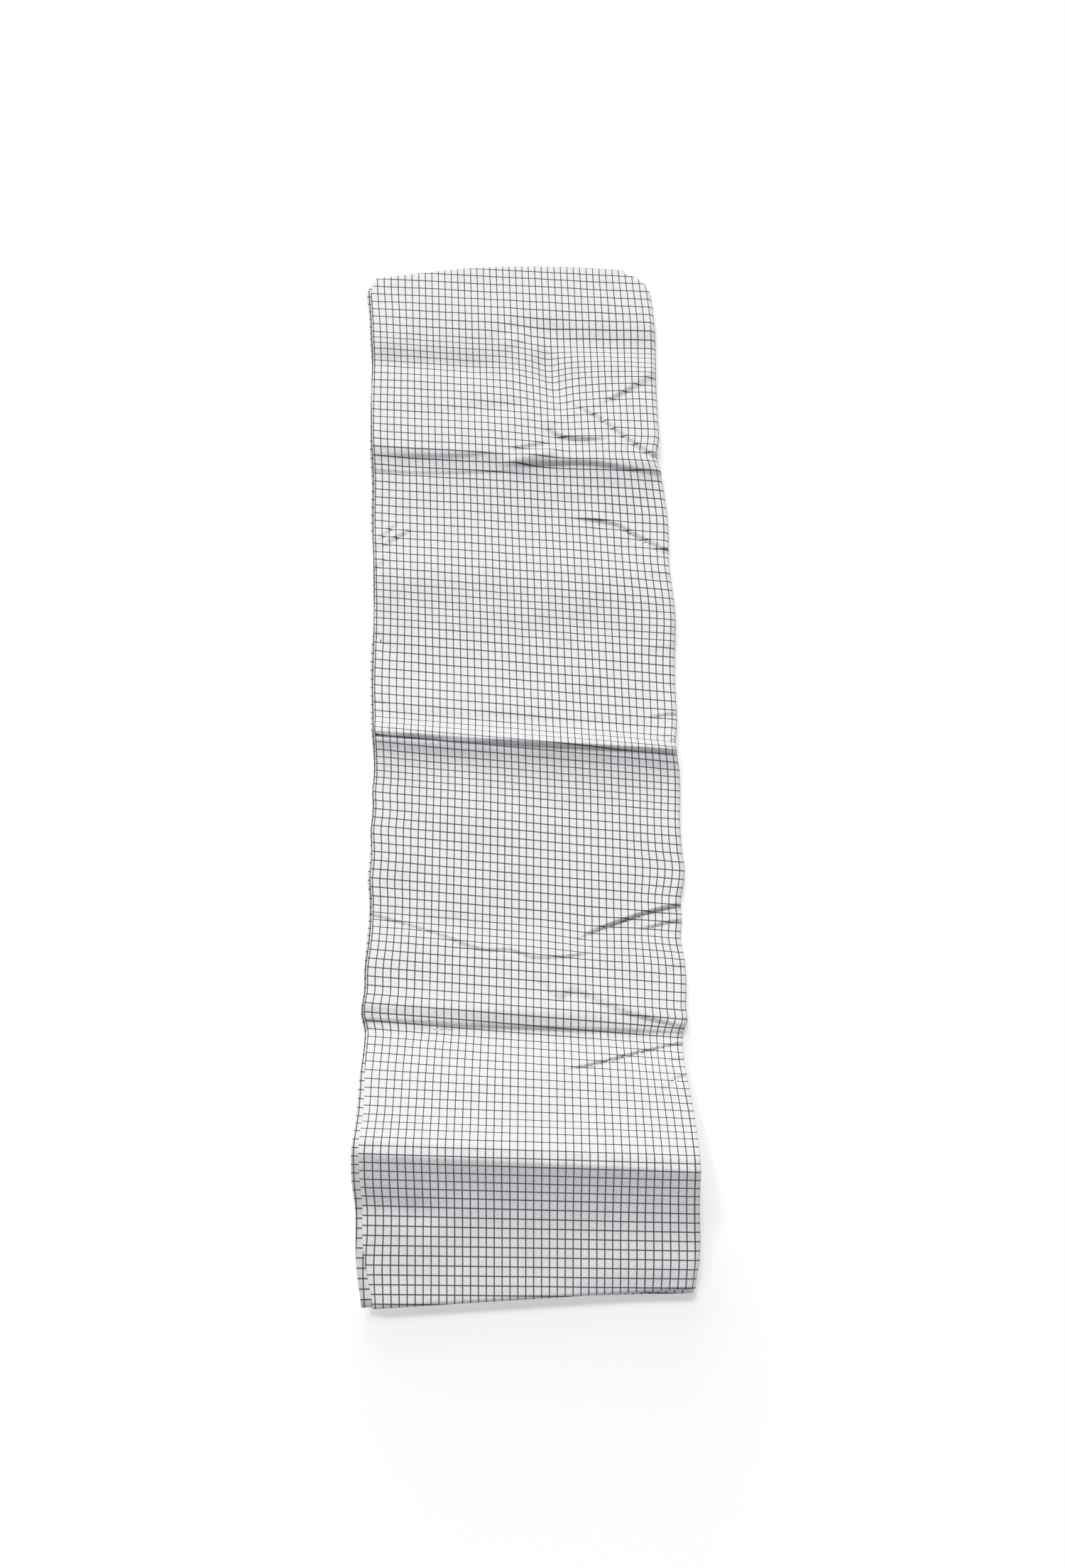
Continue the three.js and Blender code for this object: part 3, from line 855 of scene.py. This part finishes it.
def inner_carry(depth, left_inset, hem_reach):
    """The carry function of a folded ply: both its halves and the roll between them."""
    waves = [(0.6, 29.0 + 5 * depth, depth), (0.4, 11.0, 2 * depth)]

    def carry(u, v):
        # u runs from the upper left edge, round the roll, to the lower left edge
        upper = u < 0.5
        flat = np.clip(np.where(upper, u, 1 - u) / (0.5 - INNER_ROLL / 2), 0, 1)
        turned = np.clip((u - 0.5 + INNER_ROLL / 2) / INNER_ROLL, 0, 1)
        s = share_out(v) * (1 - INNER_SHORT / STRIP_LENGTH)
        s = hem_at_slant(s, flat, INNER_HEM[0], INNER_HEM[1] + depth)
        inset = np.where(upper, *left_inset) + edge_wander(s, waves)
        x = mix(left_side(s) + inset, right_side(s), flat)
        top = cloth_top(x, s, INNER_FOLLOWS)
        under = under_height(s)
        apart = (top - under - CLOTH_THICK) / PLY_GAPS
        high_z = top - depth * apart
        low_z = under + CLOTH_THICK + depth * apart
        reach = FOLD_REACH * (1 - depth / ROLLS)
        out, z = round_fold((high_z + low_z) / 2, (high_z - low_z) / 2, reach, turned * math.pi)
        points = place(x, s, z)
        points[:, 0] += out * MM
        to_ends = np.abs(x / LEFT) ** HEM_CURVE
        juts = np.where(upper, *hem_reach)
        juts = np.where(juts > 0, juts * to_ends, juts)
        points[:, 1] -= juts * (1 - smooth(s / HEM_CALM)) * MM
        checks = np.stack([checks_across(x, s), checks_along(x, s)], -1)
        return points, checks + depth * np.array(PLY_SHIFT)

    return carry


for name, depth, left_inset, hem_reach in INNER:
    carry_ply = inner_carry(depth, left_inset, hem_reach)
    ply = make_ply(name, *INNER_CELLS, carry_ply, shaded_under_cloth)
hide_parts("second_panel")
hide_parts("hidden_layers")

# %% [markdown]
# ## Floor and light
#
# The cloth lies on a plain white floor. A floor that only reflects comes out greyer than the
# light it gets, so this one glows a little too, which keeps it whiter than the cloth.

# %% Floor
FLOOR_HALF = 6.0                # metres
FLOOR_GLOW = 0.34

floor_mesh = bpy.data.meshes.new("floor")
bm = bmesh.new()
bmesh.ops.create_grid(bm, x_segments=1, y_segments=1, size=FLOOR_HALF)
bm.to_mesh(floor_mesh)
bm.free()
floor = bpy.data.objects.new("floor", floor_mesh)
bpy.context.scene.collection.objects.link(floor)

floor_material = bpy.data.materials.new("pale_floor")
floor_material.use_nodes = True
floor_shader = floor_material.node_tree.nodes["Principled BSDF"]
floor_finish = {
    "Base Color": (0.93, 0.93, 0.93, 1), "Roughness": 0.9, "Specular IOR Level": 0.1,
    "Emission Color": (1, 1, 1, 1), "Emission Strength": FLOOR_GLOW}
for socket, value in floor_finish.items():
    floor_shader.inputs[socket].default_value = value
floor_mesh.materials.append(floor_material)
print("a floor", 2 * FLOOR_HALF, "m square")

# %% [markdown]
# Both lamps shine from beyond the far end, so slopes that face it are bright and those that face
# the camera are grey, which is what shows the creases. One stands high. The other is low and
# broad, and makes the soft shadows longer. A pale world fills the shade. A picture of a room
# could light it too, but two lamps can be turned one at a time.

# %% Lamps and room
LAMP_COLOUR = (1.0, 0.985, 0.96)
ROOM_COLOUR = (0.95, 0.93, 1.0, 1)
ROOM_STRENGTH = 0.34

# name, where it shines from, strength, how many degrees across
LAMPS = [
    ("window", (-0.25, 0.6, 1.0), 2.3, 18),
    ("low_window", (-0.15, 0.92, 0.38), 1.5, 30),
]

for name, shines_from, strength, spread in LAMPS:
    lamp = bpy.data.lights.new(name, "SUN")
    lamp.energy = strength
    lamp.angle = math.radians(spread)
    lamp.color = LAMP_COLOUR
    holder = bpy.data.objects.new(name, lamp)
    bpy.context.scene.collection.objects.link(holder)
    holder.rotation_euler = Vector(shines_from).to_track_quat("Z", "Y").to_euler()

world = bpy.data.worlds.new("pale_room")
world.use_nodes = True
background = world.node_tree.nodes["Background"]
background.inputs["Color"].default_value = ROOM_COLOUR
background.inputs["Strength"].default_value = ROOM_STRENGTH
bpy.context.scene.world = world
print(len(LAMPS), "lamps and a pale room")

# %% [markdown]
# White cloth on a white floor has all its light and shade near the top of the scale. The plain
# view would burn out there, so a tone curve holds the cloth's brightest slopes just under the
# floor's white.

# %% Tone curve
CURVE_END = 2.0
WHITE_FROM = 1.36       # light as bright as this, or brighter, is pure white
TONES = [(0.45, 0.40), (0.75, 0.72), (0.93, 0.85), (1.1, 0.89), (1.25, 0.925)]

view = bpy.context.scene.view_settings
view.view_transform = "Standard"
view.use_curve_mapping = True
tone = view.curve_mapping
tone.clip_max_x = CURVE_END
tone.clip_max_y = CURVE_END
tone.extend = "HORIZONTAL"
for channel in tone.curves[:3]:
    channel.points[1].location = (CURVE_END, CURVE_END)
curve = tone.curves[3]
curve.points[0].location = (0.0, 0.0)
curve.points[1].location = (WHITE_FROM, 1.0)
for light, shown in TONES:
    curve.points.new(light, shown)
tone.update()
print("white from", WHITE_FROM)

# %% [markdown]
